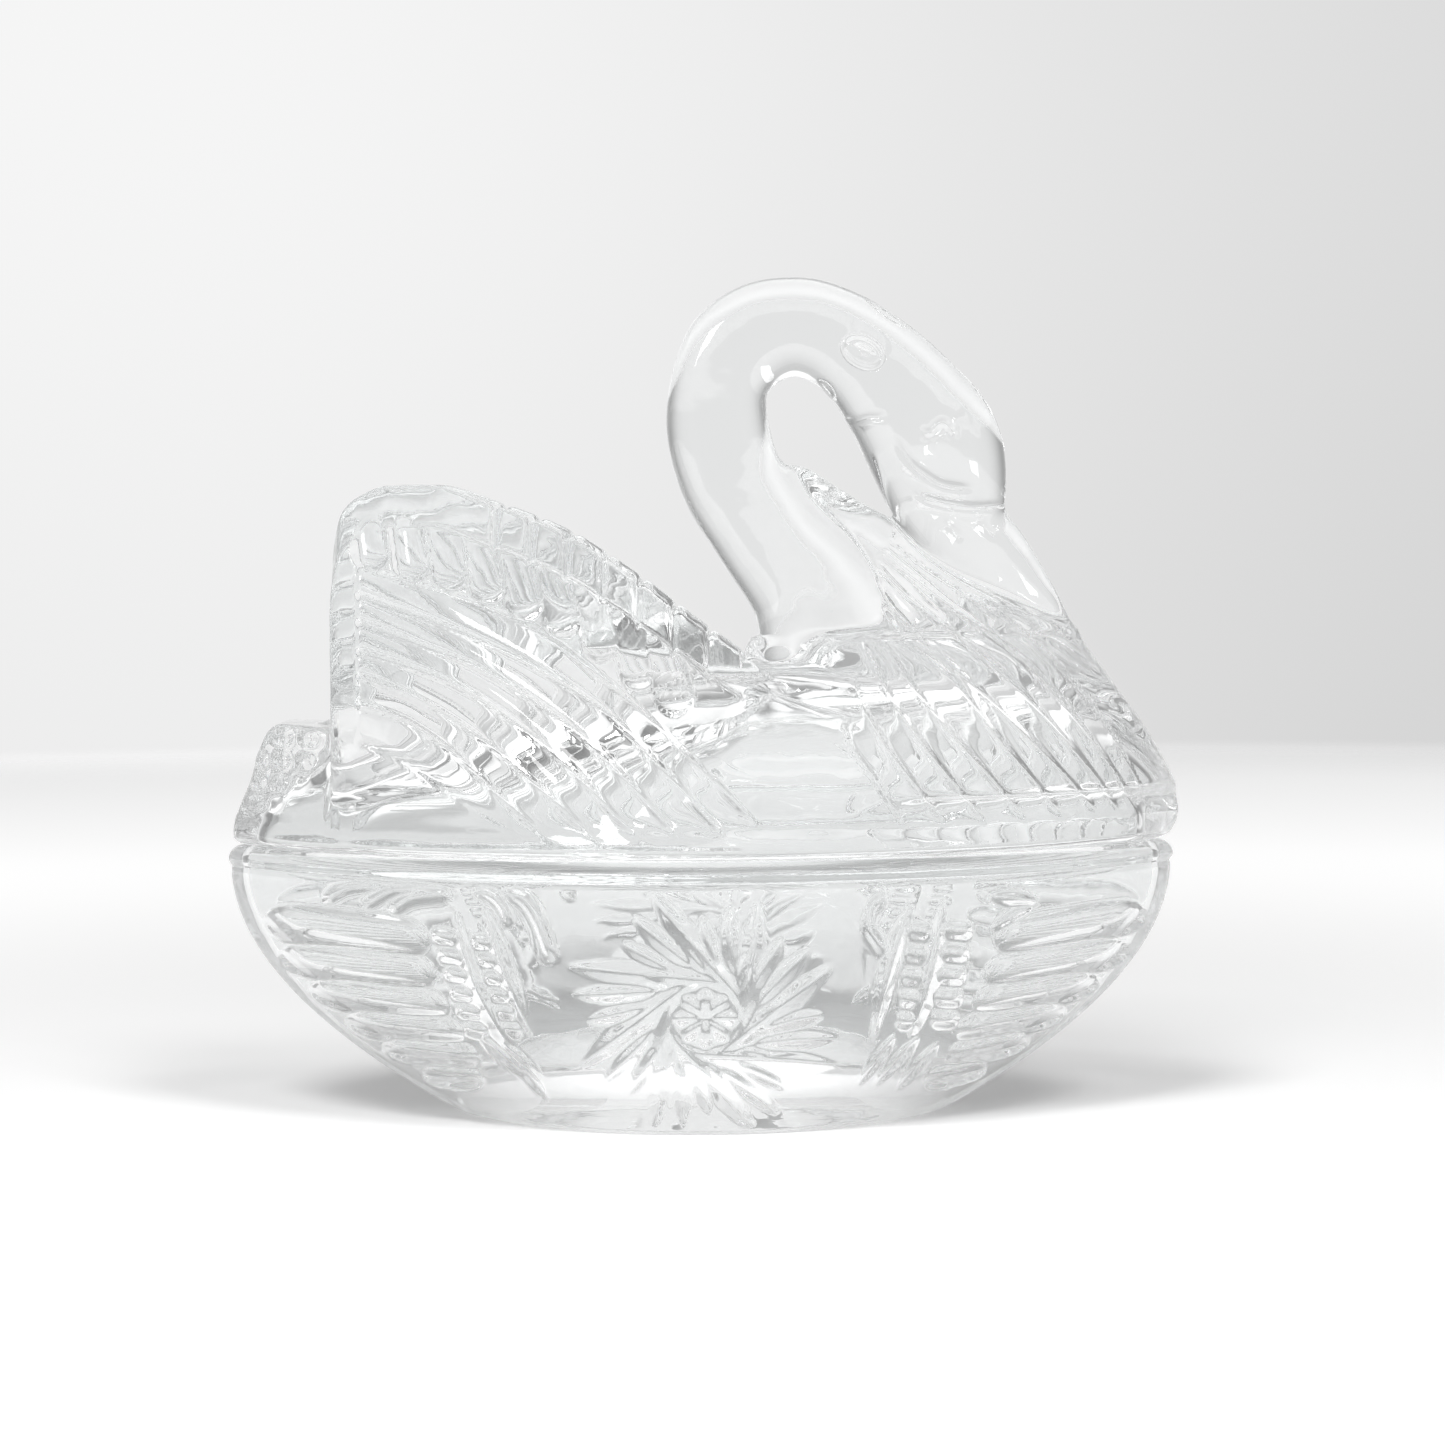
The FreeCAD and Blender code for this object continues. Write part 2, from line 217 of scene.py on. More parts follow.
def pinwheel(x, z):
    """Eight blades that run off the rim of a small hub, each with a fan of narrow leaves beside it."""
    hub_x, hub_z = 1.0, 17.8
    cuts = []
    for blade in range(8):
        turn = math.radians(45 * blade)
        ahead_x, ahead_z = math.cos(turn), math.sin(turn)

        def place(along, off):
            return hub_x + along * ahead_x + off * ahead_z, hub_z + along * ahead_z - off * ahead_x

        longer = 1 - 0.14 * ahead_z ** 2
        for start, end, wide in (
            ((-4.2, 5.4), (19.8, 7.6), 4.2), ((5.6, 4.2), (19.0, 3.4), 2.8),
            ((6.2, 2.4), (17.2, -0.4), 2.7), ((5.8, 0.8), (13.6, -3.2), 2.4),
        ):
            cuts.append(leaf(x, z, place(*start), place(end[0] * longer, end[1]), wide, 1.05, 0.25))
        cuts.append(leaf(x, z, place(0.2, 0), place(4.8, 0), 2.9, 0.95))
    ring = np.hypot(x - hub_x, z - hub_z)
    cuts.append(0.5 * np.exp(-((ring - 5.3) / 0.4) ** 2))
    return cuts


def bowl_relief(x, z):
    """Depth of the cut pattern on each side of the bowl, in side view."""
    cuts = pinwheel(x, z)
    # flutes stacked across both ends, which meet in sharp ridges
    for start, end, wide in (
        ((-64.0, 29.4), (-38.0, 28.4), 5.8), ((-62.0, 23.8), (-37.4, 23.4), 5.4),
        ((-57.5, 19.0), (-35.6, 18.6), 4.8), ((-52.0, 14.7), (-33.4, 14.7), 4.4),
        ((-46.5, 10.8), (-31.4, 11.0), 4.0), ((-41.0, 7.0), (-31.0, 7.4), 3.4),
        ((65.5, 29.4), (42.0, 27.8), 5.6), ((63.0, 24.2), (40.6, 22.6), 5.2),
        ((58.5, 19.6), (39.2, 18.4), 4.8), ((53.5, 15.4), (36.6, 14.2), 4.4),
        ((48.0, 11.4), (35.4, 10.2), 4.0), ((42.0, 7.6), (32.0, 6.4), 3.4),
    ):
        cuts.append(flute(x, z, start, end, 1.15 * wide, 1.9))
    # tall leaves either side of the middle, and the crossing leaves under them
    for start, end, wide, bend in (
        ((-34.2, 33.5), (-24.5, 9.5), 3.6, -2.0), ((-30.0, 34.0), (-23.6, 14.5), 3.2, -0.5),
        ((-32.0, 15.0), (-23.4, 7.2), 2.2, 0.0), ((-29.5, 14.6), (-21.8, 8.0), 2.0, 0.0),
        ((-27.0, 12.4), (-21.5, 4.5), 2.2, 0.0),
        ((30.0, 34.0), (24.6, 13.5), 3.4, -0.5), ((34.4, 34.0), (29.5, 12.5), 3.8, 0.9),
        ((28.2, 15.0), (22.4, 6.6), 2.2, 0.0), ((31.6, 14.4), (24.8, 6.4), 2.2, 0.0),
        ((34.4, 13.0), (28.0, 5.4), 2.4, 0.0),
        ((49.0, 32.8), (41.0, 34.2), 2.2, 0.0), ((48.0, 32.4), (41.5, 29.2), 2.6, 0.0),
    ):
        cuts.append(leaf(x, z, start, end, wide, 1.4, bend))
    # ladders of short cuts beside the tall leaves
    for first_x, step_x, first_z, step_z, count, long, wide in (
        (-30.6, 0.78, 28.4, 2.55, 6, 1.5, 2.1), (-35.9, 0.80, 29.0, 2.75, 6, 1.9, 2.2),
        (31.4, -0.45, 29.6, 3.30, 5, 1.7, 2.7), (36.8, -0.45, 29.4, 3.30, 5, 2.1, 2.7),
    ):
        for rung in range(count):
            mid_x, mid_z = first_x + step_x * rung, first_z - step_z * rung
            cuts.append(flute(x, z, (mid_x - long, mid_z + 0.3), (mid_x + long, mid_z - 0.3), wide, 0.9))
    # curved cuts that close the pattern under the rim
    for points, wide, deep in (
        (((-31.5, 36.4), (-28.5, 34.8), (-27.0, 32.6), (-26.6, 31.0)), 0.6, 0.9),
        (((-27.4, 36.2), (-24.6, 34.8), (-22.4, 31.6), (-21.3, 28.6), (-20.4, 25.8)), 0.9, 1.1),
        (((26.4, 35.2), (24.4, 33.0), (24.0, 30.6), (25.2, 28.4), (26.4, 26.4)), 0.7, 0.9),
        (((-35.0, 35.2), (-40.5, 34.4), (-44.2, 32.2)), 0.8, 0.8),
        (((-36.0, 36.0), (-42.5, 35.6), (-48.4, 32.6)), 0.7, 0.7),
        (((-44.0, 36.4), (-50.0, 35.4), (-54.5, 33.0)), 0.7, 0.7),
    ):
        cuts.append(crease(x, z, points, wide, deep))
    depth = cuts[0]
    for cut in cuts[1:]:
        depth = np.maximum(depth, cut)
    return depth * ease(0.8, 2.2, z) * (1 - ease(HULL_TOP - 1.6, HULL_TOP - 0.6, z))


def bowl_field(x, y, z, depth):
    long, wide, tip = flank(z)
    skin = boat(x, y, long, wide, tip) * 0.86
    hull = meet(skin + depth, z - HULL_TOP, 0.6)
    band = np.abs(z - (HULL_TOP + BOWL_TALL) / 2) - (BOWL_TALL - HULL_TOP) / 2
    bead = meet(boat(x, y, HALF_LONG, HALF_WIDE, RIM_TIP), band, 1.6)
    bead = meet(bead, (boat(x, y, HALF_LONG, HALF_WIDE, RIM_TIP) + z - BOWL_TALL + 1.3) * 0.7, 1.0)
    solid = join(hull, bead, 0.4)
    solid = meet(solid, -z, 1.0)
    deep = BOWL_TALL - FLOOR - 3.64
    rows = [(FLOOR + deep * level, (flank(FLOOR + deep * level)[0] - WALL * slope) / (HALF_LONG - WALL))
            for level, slope in ((0.0, 2.4), (0.2, 1.45), (0.55, 1.15))]
    rows += [(FLOOR + deep, 1.0), (BOWL_TALL, 1.0)]
    shrink = np.clip(curve_through(*np.array(rows).T, z), 0.3, 1)
    room = boat(x, y, (HALF_LONG - WALL) * shrink, (HALF_WIDE - WALL) * shrink, RIM_TIP * shrink) * 0.9
    room = meet(room, FLOOR - z, 5.0)
    return meet(solid, -room, 0.7)


# ---------------------------------------------------------------- swan: places on it
def ahead(share):
    return HALF_LONG * share


def above(share):
    return BOWL_TALL + RISE * share


BACK = (
    # height share, stern, bow, half width (shares), tip radius
    (0.000, -0.982, 0.972, 0.965, 3.8), (0.014, -0.986, 0.994, 0.985, 3.8),
    (0.050, -0.978, 1.010, 0.985, 3.8), (0.130, -0.925, 0.976, 0.880, 5.0),
    (0.210, -0.805, 0.922, 0.700, 6.5), (0.290, -0.600, 0.830, 0.450, 7.0),
)
BREAST = (
    (0.130, 0.000, 0.974, 0.780, 6.0), (0.205, 0.045, 0.925, 0.620, 5.5),
    (0.280, 0.085, 0.872, 0.440, 5.0), (0.366, 0.112, 0.800, 0.290, 4.2),
    (0.372, 0.290, 0.796, 0.245, 4.2), (0.415, 0.290, 0.712, 0.200, 4.0),
    (0.480, 0.260, 0.590, 0.160, 3.6), (0.555, 0.200, 0.440, 0.145, 3.2),
    (0.625, 0.120, 0.300, 0.125, 2.6),
    (0.690, 0.050, 0.185, 0.085, 2.0),
)
WING = (
    # place along, foot: aside, top: height and aside, root: height and aside
    (-0.756, 0.455, 0.556, 0.410, 0.115, 0.115), (-0.735, 0.500, 0.590, 0.420, 0.120, 0.110),
    (-0.700, 0.545, 0.617, 0.432, 0.135, 0.107), (-0.640, 0.610, 0.636, 0.450, 0.160, 0.100),
    (-0.560, 0.700, 0.638, 0.470, 0.182, 0.095), (-0.430, 0.815, 0.606, 0.495, 0.204, 0.088),
    (-0.285, 0.900, 0.557, 0.510, 0.215, 0.080), (-0.143, 0.945, 0.481, 0.495, 0.212, 0.080),
    (0.000, 0.955, 0.391, 0.440, 0.197, 0.080), (0.125, 0.935, 0.316, 0.355, 0.180, 0.080),
)
NECK = (
    # outer and inner edge in side view as shares (along, up), and width as a share of the neck's
    ((0.132, 0.330), (0.405, 0.330), 1.20), ((0.114, 0.425), (0.380, 0.443), 1.12),
    ((0.033, 0.528), (0.250, 0.578), 1.04), ((-0.033, 0.618), (0.170, 0.685), 1.00),
    ((-0.064, 0.745), (0.147, 0.770), 0.99), ((-0.050, 0.840), (0.150, 0.800), 0.97),
    ((0.000, 0.930), (0.172, 0.818), 0.95), ((0.093, 0.984), (0.195, 0.824), 0.94),
    ((0.214, 1.000), (0.215, 0.824), 0.94), ((0.330, 0.974), (0.252, 0.810), 0.94),
    ((0.443, 0.915), (0.290, 0.776), 0.95), ((0.557, 0.822), (0.330, 0.715), 0.95),
    ((0.632, 0.735), (0.362, 0.660), 0.92), ((0.645, 0.660), (0.393, 0.612), 0.84),
    ((0.642, 0.598), (0.440, 0.555), 0.73), ((0.705, 0.510), (0.543, 0.465), 0.60),
    ((0.758, 0.430), (0.640, 0.405), 0.47), ((0.795, 0.368), (0.735, 0.340), 0.25),
)
NECK_WIDE = 15.4
SQUARE = 3.6    # how flat the sides of the neck are: 2 is an ellipse
LOBE_PITCH = 5.1    # from notch to notch along the wing's crest
FIRST_NOTCH = -29.0
WING_BACK, WING_FRONT = -52.9, 10.0
LIP_DEEP = 2.6
LIP_AIR = 0.6    # between the lip and the bowl's wall
LIP_THICK = 2.2
LID_WALL = 3.2


# ---------------------------------------------------------------- swan: relief
FLIGHT = (
    # edges of the flight feathers, lowest first: (along, up) in millimetres
    ((-49.9, 56.5), (-44.4, 54.6), (-39.5, 52.1), (-35.8, 49.7), (-32, 47.3), (-28.3, 45.3),
     (-23.4, 42.6)),
    ((-49.9, 62), (-45.9, 61), (-41.8, 59.6), (-37.4, 57.1), (-33.2, 53.9), (-29.9, 50.9),
     (-24.7, 46.2), (-19.4, 42.2)),
    ((-50, 66), (-45.9, 64.9), (-41.8, 63.5), (-37.5, 61.5), (-33.2, 59), (-25.3, 53),
     (-18.4, 47), (-14.2, 43.3)),
    ((-50, 69.6), (-42.4, 67.5), (-37.5, 65.9), (-33.3, 64.1), (-25.3, 59.1), (-17.9, 53.1),
     (-11.2, 46.4), (-7.1, 43.1)),
    ((-50, 73.8), (-44, 72), (-39.7, 70.3), (-32.2, 67.6), (-23.8, 62.9), (-15.9, 57.2),
     (-9.2, 50.6), (-2.3, 43.4)),
    ((-50, 77.8), (-44.1, 75.8), (-39.8, 74.4), (-30.2, 70.6), (-22.9, 67.1), (-12.3, 60.4),
     (-4.8, 52.8), (3.5, 44.3)),
    ((-50, 81.8), (-44.1, 80.4), (-34.5, 77.7), (-25.5, 74.2), (-16.4, 68.3), (-8.8, 62.1),
     (-3.9, 57.6), (7.9, 46.1)),
)
SCALLOPS = (
    # top and bottom of each short feather under the top edge of the wing
    ((-47.6, 89.2), (-46.3, 80.7)), ((-42.0, 89.3), (-40.3, 79.1)), ((-36.5, 88.0), (-34.8, 78.0)),
    ((-31.2, 86.6), (-29.3, 76.1)), ((-26.0, 84.9), (-23.9, 73.8)), ((-20.6, 82.0), (-18.4, 71.4)),
    ((-15.4, 78.4), (-12.9, 68.0)), ((-10.4, 75.0), (-7.6, 64.2)), ((-5.6, 71.2), (-2.4, 60.2)),
)
BREAST_GROOVES = (
    ((20.4, 57.7), (22.4, 54.3), (25.2, 50.5), (28.2, 46), (30.6, 42.3)),
    ((23.1, 62.3), (25.4, 57.6), (28.6, 52.9), (34.3, 45.8), (37.7, 41.7)),
    ((25.3, 66.7), (28.3, 61.1), (31.3, 56.7), (37.7, 48.5), (43.8, 41.2)),
    ((26.4, 70.6), (29.5, 65.5), (33.4, 60.3), (42.3, 50.1), (50.1, 40.8)),
    ((26.6, 74.6), (30.6, 69.6), (35.9, 65.4), (43.3, 55.9), (51.9, 45.3), (55.5, 40.5)),
    ((24.5, 80.7), (28.6, 74.4), (33.9, 69.1), (45.6, 57.9), (57, 45.7), (61.1, 40)),
    ((22.5, 86.9), (27.6, 79.3), (37.8, 70.5), (44.4, 64.8), (55.1, 52.9), (64.5, 39.7)),
    ((20.5, 92), (26.6, 83.4), (33.7, 77.3), (47.8, 66.4), (58.4, 53.1), (66.9, 39.4)),
    ((17.5, 96.1), (24.6, 87.5), (32.7, 80.7), (48, 70.5), (59, 58), (66.3, 43.9), (68.7, 39.2)),
)


def strips(count):
    """Gently rounded strips with a narrow groove between each two."""
    across = np.abs((count % 1.0) * 2 - 1)
    return 0.24 * across ** 2 + 0.50 * across ** 8


def wing_relief(x, z):
    """Depth of the feathers on the outside of a wing."""
    count = strand(x, z, FLIGHT)
    top = curve_through(*np.array(FLIGHT[-1]).T, x)
    plain = ease(-49.0, -48.3, x) * (1 - ease(-0.6, 0.2, z - top)) * ease(42.4, 45.2, z)
    depth = (0.3 + strips(count)) * plain * ease(-0.1, 0.3, count)
    hollow = 0.0
    for (x0, z0), (x1, z1) in SCALLOPS:
        long = math.hypot(x1 - x0, z1 - z0)
        ux, uz = (x1 - x0) / long, (z1 - z0) / long
        t = (x - x0) * ux + (z - z0) * uz
        s = -(x - x0) * uz + (z - z0) * ux
        past = np.maximum(t - long + 2.7, 0)
        lobe = 1 - (s * s + past * past) / 2.7 ** 2
        hollow = np.maximum(hollow, np.clip(lobe, 0, 1) * ease(0.0, 0.6, t))
    return depth * (1 - ease(0.0, 0.15, hollow)) + 1.35 * np.sqrt(hollow + 0.01) * ease(0.0, 0.15, hollow)


def breast_relief(x, z):
    """Depth of the long flutes that run down the breast from its crest."""
    count = strand(x, z, BREAST_GROOVES)
    depth = strips(count)
    start = curve_through((16, 20, 24, 27, 32, 72), (44.0, 56.0, 70.0, 82.0, 98.0, 130.0), x)
    return depth * ease(43.6, 45.4, z) * (1 - ease(-1.5, 1.5, z - start)) * ease(18.0, 21.5, x)


def head_relief(x, z):
    """Depth of eye, nostril, cheek and the edge of the beak."""
    turn = math.radians(-28)
    ex, ez = x - 24.3, z - 111.9
    along = ex * math.cos(turn) + ez * math.sin(turn)
    across = ez * math.cos(turn) - ex * math.sin(turn)
    ring = np.hypot(along / 3.0, across / 1.9)
    depth = 0.3 * np.exp(-(ring / 0.5) ** 2) - 0.5 * (1 - ease(0.84, 1.06, ring))
    for points, wide, deep in (
        (((32.6, 100.4), (33.9, 100.1), (34.8, 101.0), (35.8, 101.6), (36.8, 100.9), (37.2, 99.6)),
         0.45, 0.6),
        (((29.0, 99.2), (30.6, 96.4), (33.0, 94.3), (36.0, 92.6), (40.4, 91.9)), 0.42, 0.6),
        (((31.4, 91.4), (34.0, 90.4), (37.0, 89.7), (40.4, 89.3), (44.6, 89.6)), 0.42, 0.65),
        (((21.6, 102.2), (23.5, 102.0), (25.0, 102.4), (27.6, 102.5)), 0.4, 0.45),
        (((36.0, 87.0), (37.4, 86.0), (38.6, 84.4)), 0.4, 0.25),
        (((40.6, 87.6), (42.2, 86.0), (43.6, 84.8)), 0.4, 0.25),
    ):
        depth = depth + crease(x, z, points, wide, deep)
    return depth


# ---------------------------------------------------------------- swan: solid
def neck_maps(x, z):
    """For each place in side view: distance off the neck's centre line, its half depth and half width."""
    outer = np.array([(ahead(o[0]), above(o[1])) for o, i, w in NECK])
    inner = np.array([(ahead(i[0]), above(i[1])) for o, i, w in NECK])
    width = np.array([w * NECK_WIDE / 2 for o, i, w in NECK])
    centre = (outer + inner) / 2
    run = np.concatenate([[0], np.cumsum(np.hypot(*np.diff(centre, axis=0).T))])
    at = np.linspace(0, run[-1], 420)

    def along(values):
        return smooth_line(run, values, at)

    ox, oz, ix, iz = along(outer[:, 0]), along(outer[:, 1]), along(inner[:, 0]), along(inner[:, 1])
    cx, cz = (ox + ix) / 2, (oz + iz) / 2
    half = np.hypot(ox - ix, oz - iz) / 2
    wide = along(width)
    shape = np.broadcast(x, z).shape
    flat_x, flat_z = np.broadcast_to(x, shape).ravel(), np.broadcast_to(z, shape).ravel()
    off, deep, broad = (np.empty(flat_x.size) for _ in range(3))
    for start in range(0, flat_x.size, 8192):
        part = slice(start, start + 8192)
        gap = np.hypot(flat_x[part, None] - cx, flat_z[part, None] - cz)
        spare = gap - half
        weight = np.exp(np.maximum((spare.min(axis=1)[:, None] - spare) / 0.4, -30))
        weight /= weight.sum(axis=1)[:, None]
        off[part] = np.maximum((weight * gap).sum(axis=1) - 0.2, 0)
        deep[part], broad[part] = weight @ half, weight @ wide
    return off.reshape(shape), deep.reshape(shape), broad.reshape(shape)


def smooth_line(places, values, at):
    """A cubic curve through points whose slopes follow their neighbours."""
    x, y = np.asarray(places, float), np.asarray(values, float)
    tangent = np.gradient(y, x)
    i = np.clip(np.searchsorted(x, at) - 1, 0, len(x) - 2)
    step = x[i + 1] - x[i]
    t = (at - x[i]) / step
    square, cube = t ** 2, t ** 3
    return ((2 * cube - 3 * square + 1) * y[i] + (cube - 2 * square + t) * step * tangent[i]
            + (3 * square - 2 * cube) * y[i + 1] + (cube - square) * step * tangent[i + 1])


def lid_maps(x, z):
    """Everything about the lid that depends on side view only."""
    maps = {}
    foot, top_up, top_out, root_up, root_out = columns(WING, x / HALF_LONG)
    low, high, root = above(0.055), above(top_up), above(root_up)
    rise = np.clip((z - low) / (high - low), 0, 1.1)
    out = HALF_WIDE * (foot + (top_out - foot) * rise) + 1.2 * 4 * rise * (1 - np.minimum(rise, 1))
    lean = np.clip((z - root) / (high - root), -0.4, 1.1)
    maps["inner"] = HALF_WIDE * root_out + (HALF_WIDE * top_out - 5.0 - HALF_WIDE * root_out) * lean
    maps["outer"] = out - wing_relief(x, z)
    notch = np.abs(((x - FIRST_NOTCH) / LOBE_PITCH) % 1.0 * 2 - 1) ** 10
    roof = high - 1.1 * notch * ease(-33, -29.5, x)
    slope = np.gradient(high[:, 0], x[:, 0])[:, None]
    maps["roof"], maps["roof_slope"] = roof, 1 / np.sqrt(1 + slope ** 2)
    maps["side"] = meet(WING_BACK - x, x - WING_FRONT, 4.0)
    maps["wing_low"] = above(0.02) - z
    maps["breast"] = breast_relief(x, z)
    count = strand(x, z, FLIGHT)
    maps["back"] = strips(count) * ease(0.0, 1.5, count) * ease(44.0, 46.0, z)
    maps["back"] = maps["back"] * ease(-50.7, -50.0, x) * (1 - ease(4, 10, x))
    maps["off"], maps["deep"], maps["broad"] = neck_maps(x, z)
    maps["head"] = head_relief(x, z)
    tail_edge = curve_through((40.0, 43.5, 45.8, 54.3, 57.2, 60.0),
                              (-69.0, -68.7, -67.6, -64.8, -63.4, -62.0), z)
    tail = meet(tail_edge - x, z - curve_through((-70, -62, -50), (57.6, 58.3, 57.4), x), 2.0)
    maps["tail"] = meet(tail, x + 49.0, 2.0)
    dots = 0.0
    for px, count_up in ((-65.2, 3), (-61.6, 4), (-58.0, 4)):
        for k in range(count_up):
            dots = dots + np.exp(-(((x - px - 0.35 * k) ** 2 + (z - 46.4 - 3.3 * k) ** 2) / 1.35 ** 2) ** 2)
    maps["tail_beads"] = 0.75 * (1 - np.clip(dots, 0, 1)) * ease(44.6, 45.6, z)
    return maps


def lid_field(x, y, z, m):
    share = (z - BOWL_TALL) / RISE
    ay = np.abs(y)
    stern, bow, wide, tip = columns(BACK, share)
    long = np.maximum(HALF_LONG * (bow - stern) / 2, 10)
    back = boat(x - HALF_LONG * (bow + stern) / 2, y, long, np.maximum(HALF_WIDE * wide, 8),
                np.clip(tip, RIM_TIP, 7))
    feathers = m["back"] + m["breast"] * ease(0.05, 0.09, share)
    body = meet((back + feathers) * 0.85, z - above(0.290), 6.0)

    stern, bow, wide, tip = columns(BREAST, share)
    long = np.maximum(HALF_LONG * (bow - stern) / 2, 3.0)
    breast = boat(x - HALF_LONG * (bow + stern) / 2, y, long, np.maximum(HALF_WIDE * wide, 2.6),
                  np.clip(tip, 2, 6))
    breast = meet(breast * 0.72 + m["breast"] * 0.8, z - above(0.668), 1.2)
    breast = meet(breast, above(0.10) - z, 1.0)
    body = join(body, breast, 2.4)

    face = (ay - m["outer"]) * 0.93
    inside = (m["inner"] - ay) * 0.93
    crest = (z - m["roof"] + np.clip(ay - m["inner"] - 1.4, 0, 5) * 1.15) * m["roof_slope"] * 0.8
    wing = meet(meet(face, inside, 1.2), meet(crest, m["side"], 2.2), 0.4)
    wing = meet(wing, m["wing_low"], 1.0)
    body = join(body, wing, 1.6)

    plan = boat(x + 51.8, y, 17.0, 11.4, 2.8)
    tail = meet(meet(m["tail"], plan + m["tail_beads"], 1.5), above(0.02) - z, 1.0)
    body = join(body, tail, 1.4)

    u, v = np.abs(m["off"] / m["deep"]) + 1e-4, np.abs(y / m["broad"]) + 1e-4
    reach = (u ** SQUARE + v ** SQUARE) ** (1 / SQUARE)
    steep = np.hypot((u / reach) ** (SQUARE - 1) / m["deep"], (v / reach) ** (SQUARE - 1) / m["broad"])
    neck = (reach - 1) / steep + m["head"] * ease(2.0, 4.0, ay)
    neck = meet(neck, above(0.33) - z, 2.0)
    body = join(body, neck, 1.3)

    body = meet(body, BOWL_TALL + SEAM - z, 1.0)
    lip_long, lip_wide = HALF_LONG - WALL - LIP_AIR, HALF_WIDE - WALL - LIP_AIR
    lip = meet(boat(x, y, lip_long, lip_wide, RIM_TIP), np.abs(z - BOWL_TALL) - LIP_DEEP, 0.8)
    body = join(body, lip, 0.4)

    dome = RISE * 0.29 - LID_WALL
    level = np.clip((z - BOWL_TALL) / dome, 0, 0.995)
    shrink = np.sqrt(1 - level ** 2.0)
    half_long, half_wide = lip_long - LIP_THICK, lip_wide - LIP_THICK
    ahead_by = half_long * (1 - shrink) * 0.30
    half_long, half_wide = np.maximum(half_long * shrink, 6), np.maximum(half_wide * shrink, 3)
    room_tip = np.clip(RIM_TIP + 4 * level, RIM_TIP, half_wide - 0.5)
    room = boat(x - ahead_by, y, half_long, half_wide, room_tip)
    room = meet(room * np.maximum(shrink, 0.25), z - BOWL_TALL - dome, 5.0)
    return meet(body, -room, 0.8)


# ---------------------------------------------------------------- from a solid to a mesh
def sample(grid, low, cell, points):
    """The field at any places, between the cells of its grid."""
    place = (points - low) / cell
    whole = np.clip(np.floor(place).astype(np.int64), 0, np.array(grid.shape) - 2)
    part = (place - whole).astype(np.float32)
    i, j, k = whole.T
    a, b, c = part.T
    result = np.zeros(len(points), np.float32)
    for di, wa in ((0, 1 - a), (1, a)):
        for dj, wb in ((0, 1 - b), (1, b)):
            for dk, wc in ((0, 1 - c), (1, c)):
                result += wa * wb * wc * grid[i + di, j + dj, k + dk]
    return result


def slope_at(grid, low, cell, points, reach):
    """Direction in which the field grows, at any places."""
    result = np.empty((len(points), 3), np.float32)
    for axis in range(3):
        shift = np.zeros(3, np.float32)
        shift[axis] = reach
        result[:, axis] = sample(grid, low, cell, points + shift) - sample(grid, low, cell, points - shift)
    return result / (2 * reach)


def mesh_of(name, low, high, cell, maps, field):
    """Mesh of a solid given as a field, with its vertices on the surface and smooth normals."""
    low, high = np.array(low, float) - 3 * cell, np.array(high, float) + 3 * cell
    counts = np.ceil((high - low) / cell).astype(int) + 1
    axes = [(low[a] + cell * np.arange(counts[a])) for a in range(3)]
    x2, z2 = axes[0][:, None], axes[2][None, :]
    flat = maps(x2, z2)
    x3, y3, z3 = axes[0][:, None, None], axes[1][None, :, None], axes[2][None, None, :]
    y3, z3 = y3.astype(np.float32), z3.astype(np.float32)
    if not isinstance(flat, dict):
        flat = {"depth": flat}
    side_view = (counts[0], counts[2])
    flat = {key: np.broadcast_to(value, side_view).astype(np.float32) for key, value in flat.items()}
    grid = np.empty(tuple(counts), np.float32)

    def slab(start):
        part = slice(start, start + 8)
        here = {key: value[part][:, None, :] for key, value in flat.items()}
        grid[part] = field(x3[part].astype(np.float32), y3, z3, here)

    with ThreadPoolExecutor(4) as pool:
        list(pool.map(slab, range(0, counts[0], 8)))
    level = openvdb.FloatGrid(3.0)
    level.copyFromArray(np.clip(grid, -3, 3))
    points, triangles, quads = level.convertToPolygons(isovalue=0.0, adaptivity=0.0)
    points = points.astype(np.float32) * cell + low.astype(np.float32)
    low = low.astype(np.float32)
    for _ in range(2):
        slope = slope_at(grid, low, cell, points, 0.5 * cell)
        size = np.maximum((slope ** 2).sum(1), 0.05)
        move = -slope * (sample(grid, low, cell, points) / size)[:, None]
        points += np.clip(move, -0.3 * cell, 0.3 * cell)
    normals = slope_at(grid, low, cell, points, cell)
    normals /= np.maximum(np.linalg.norm(normals, axis=1), 1e-6)[:, None]

    mesh = bpy.data.meshes.new(name)
    faces = np.concatenate([quads.ravel(), triangles.ravel()]).astype(np.int32)
    starts = np.concatenate([np.arange(len(quads)) * 4, len(quads) * 4 + np.arange(len(triangles)) * 3])
    mesh.vertices.add(len(points))
    mesh.vertices.foreach_set("co", (points * MM).ravel())
    mesh.loops.add(len(faces))
    mesh.loops.foreach_set("vertex_index", faces)
    mesh.polygons.add(len(starts))
    mesh.polygons.foreach_set("loop_start", starts.astype(np.int32))
    mesh.update(calc_edges=True)
    mesh.validate()
    made = np.empty(len(mesh.vertices) * 3, np.float32)
    mesh.vertex_normals.foreach_get("vector", made)
    if (made.reshape(-1, 3) * normals).sum() < 0:
        mesh.flip_normals()
    mesh.polygons.foreach_set("use_smooth", np.ones(len(starts), bool))
    mesh.normals_split_custom_set_from_vertices(normals)
    piece = bpy.data.objects.new(name, mesh)
    bpy.context.scene.collection.objects.link(piece)
    print(name, len(points), "vertices")
    return piece


